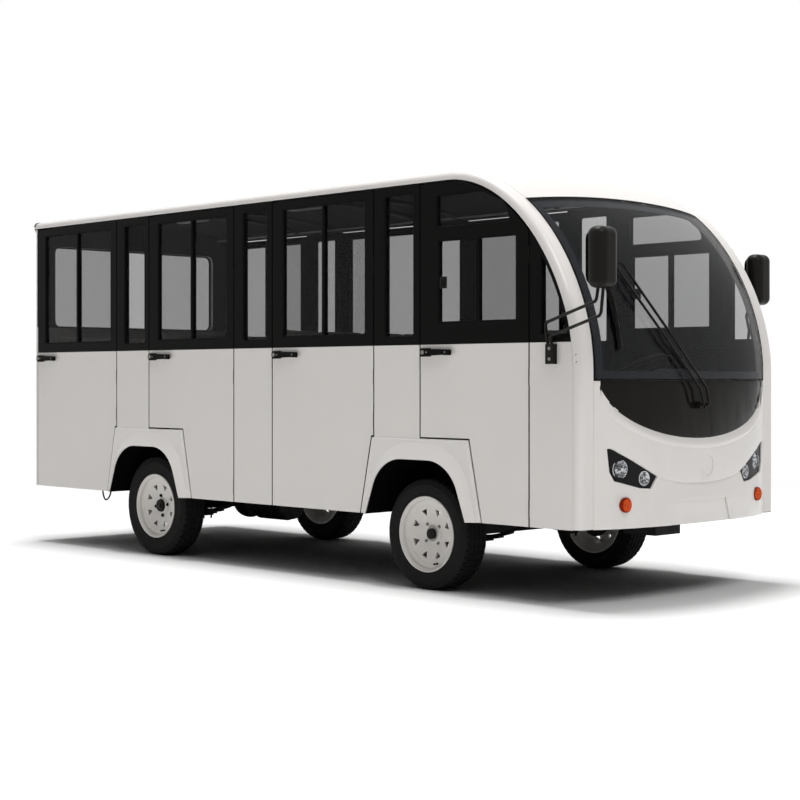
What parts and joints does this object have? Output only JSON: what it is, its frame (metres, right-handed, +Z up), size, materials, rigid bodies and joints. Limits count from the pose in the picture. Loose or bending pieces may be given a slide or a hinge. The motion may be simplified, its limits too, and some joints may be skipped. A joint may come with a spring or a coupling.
{
  "type": "enclosed electric sightseeing bus",
  "caption": "Enclosed electric sightseeing bus with arched front hoops, side doors to each bench row, dark window band, steering front wheels and rear axle.",
  "frame": {"origin": "on the ground under the middle of the vehicle's box", "axes": "+X forward, +Y to the left, +Z up"},
  "size_m": [4.6625, 1.93, 2.035],
  "materials": {
    "body_white": "gloss paint",
    "gloss_black": "gloss",
    "tinted_glass": "tinted",
    "chassis_black": "satin",
    "floor_grey": "matt",
    "motor_case": "painted",
    "battery_case": "matt",
    "seat_frame_black": "satin",
    "seat_vinyl": "smooth vinyl",
    "dash_plastic": "grained",
    "black_plastic": "satin",
    "lamp_black": "gloss",
    "amber_lens": "gloss",
    "red_lens": "gloss",
    "tyre_rubber": "matt",
    "wheel_white": "gloss paint"
  },
  "bodies": {
    "body": {"chassis_frame": "chassis_black", "floor_deck": "floor_grey", "roof": "body_white", "hoops": "body_white", "front_panel": "body_white", "front_fascia": "gloss_black", "windscreen": "tinted_glass", "rear_wall": "body_white", "side_panels": "body_white", "fixed_windows": "tinted_glass", "wheel_flares": "body_white", "front_axle": "chassis_black", "rear_axle": "chassis_black", "drive_motor": "motor_case", "battery_pack": "battery_case", "seat_frames": "seat_frame_black", "seat_cushions": "seat_vinyl", "wheel_boxes": "chassis_black", "dashboard": "dash_plastic", "steering_wheel": "dash_plastic", "mirror_right": "black_plastic", "mirror_left": "black_plastic", "headlamps": "lamp_black", "turn_lamps": "amber_lens", "tail_lamps": "red_lens", "wiper": "black_plastic", "tow_block": "chassis_black"},
    "door_body_1_right": {"door_1_right": "body_white", "glass_1_right": "tinted_glass"},
    "door_body_2_right": {"door_2_right": "body_white", "glass_2_right": "tinted_glass"},
    "door_body_3_right": {"door_3_right": "body_white", "glass_3_right": "tinted_glass"},
    "door_body_4_right": {"door_4_right": "body_white", "glass_4_right": "tinted_glass"},
    "door_body_1_left": {"door_1_left": "body_white", "glass_1_left": "tinted_glass"},
    "door_body_2_left": {"door_2_left": "body_white", "glass_2_left": "tinted_glass"},
    "door_body_3_left": {"door_3_left": "body_white", "glass_3_left": "tinted_glass"},
    "door_body_4_left": {"door_4_left": "body_white", "glass_4_left": "tinted_glass"},
    "knuckle_body_right": {"knuckle_right": "chassis_black"},
    "wheel_front_right": {"tyre_front_right": "tyre_rubber", "rim_front_right": "wheel_white"},
    "wheel_rear_right": {"tyre_rear_right": "tyre_rubber", "rim_rear_right": "wheel_white"},
    "knuckle_body_left": {"knuckle_left": "chassis_black"},
    "wheel_front_left": {"tyre_front_left": "tyre_rubber", "rim_front_left": "wheel_white"},
    "wheel_rear_left": {"tyre_rear_left": "tyre_rubber", "rim_rear_left": "wheel_white"}
  },
  "joints": [
    {"name": "door_1_right_hinge", "type": "hinge", "parent": "body", "child": "door_body_1_right", "pos_m": [1.743, -0.75, 1], "axis": [0, 0, 1], "range_deg": [0, 75]},
    {"name": "door_2_right_hinge", "type": "hinge", "parent": "body", "child": "door_body_2_right", "pos_m": [0.741, -0.75, 1], "axis": [0, 0, 1], "range_deg": [0, 75]},
    {"name": "door_3_right_hinge", "type": "hinge", "parent": "body", "child": "door_body_3_right", "pos_m": [-0.347, -0.75, 1], "axis": [0, 0, 1], "range_deg": [0, 75]},
    {"name": "door_4_right_hinge", "type": "hinge", "parent": "body", "child": "door_body_4_right", "pos_m": [-1.435, -0.75, 1], "axis": [0, 0, 1], "range_deg": [0, 75]},
    {"name": "door_1_left_hinge", "type": "hinge", "parent": "body", "child": "door_body_1_left", "pos_m": [1.743, 0.75, 1], "axis": [0, 0, -1], "range_deg": [0, 75]},
    {"name": "door_2_left_hinge", "type": "hinge", "parent": "body", "child": "door_body_2_left", "pos_m": [0.741, 0.75, 1], "axis": [0, 0, -1], "range_deg": [0, 75]},
    {"name": "door_3_left_hinge", "type": "hinge", "parent": "body", "child": "door_body_3_left", "pos_m": [-0.347, 0.75, 1], "axis": [0, 0, -1], "range_deg": [0, 75]},
    {"name": "door_4_left_hinge", "type": "hinge", "parent": "body", "child": "door_body_4_left", "pos_m": [-1.435, 0.75, 1], "axis": [0, 0, -1], "range_deg": [0, 75]},
    {"name": "steering_right", "type": "hinge", "parent": "body", "child": "knuckle_body_right", "pos_m": [1.051, -0.534, 0.265], "axis": [0, 0, 1], "range_deg": [-28, 28]},
    {"name": "front_right_wheel_spin", "type": "hinge", "parent": "knuckle_body_right", "child": "wheel_front_right", "pos_m": [1.051, -0.626, 0.265], "axis": [0, 1, 0], "continuous": true},
    {"name": "rear_right_wheel_spin", "type": "hinge", "parent": "body", "child": "wheel_rear_right", "pos_m": [-1.124, -0.626, 0.28], "axis": [0, 1, 0], "continuous": true},
    {"name": "steering_left", "type": "hinge", "parent": "body", "child": "knuckle_body_left", "pos_m": [1.051, 0.534, 0.265], "axis": [0, 0, 1], "range_deg": [-28, 28]},
    {"name": "front_left_wheel_spin", "type": "hinge", "parent": "knuckle_body_left", "child": "wheel_front_left", "pos_m": [1.051, 0.626, 0.265], "axis": [0, 1, 0], "continuous": true},
    {"name": "rear_left_wheel_spin", "type": "hinge", "parent": "body", "child": "wheel_rear_left", "pos_m": [-1.124, 0.626, 0.28], "axis": [0, 1, 0], "continuous": true}
  ],
  "couplings": [
    {"joint": "steering_left", "follows": "steering_right", "ratio": 1}
  ]
}
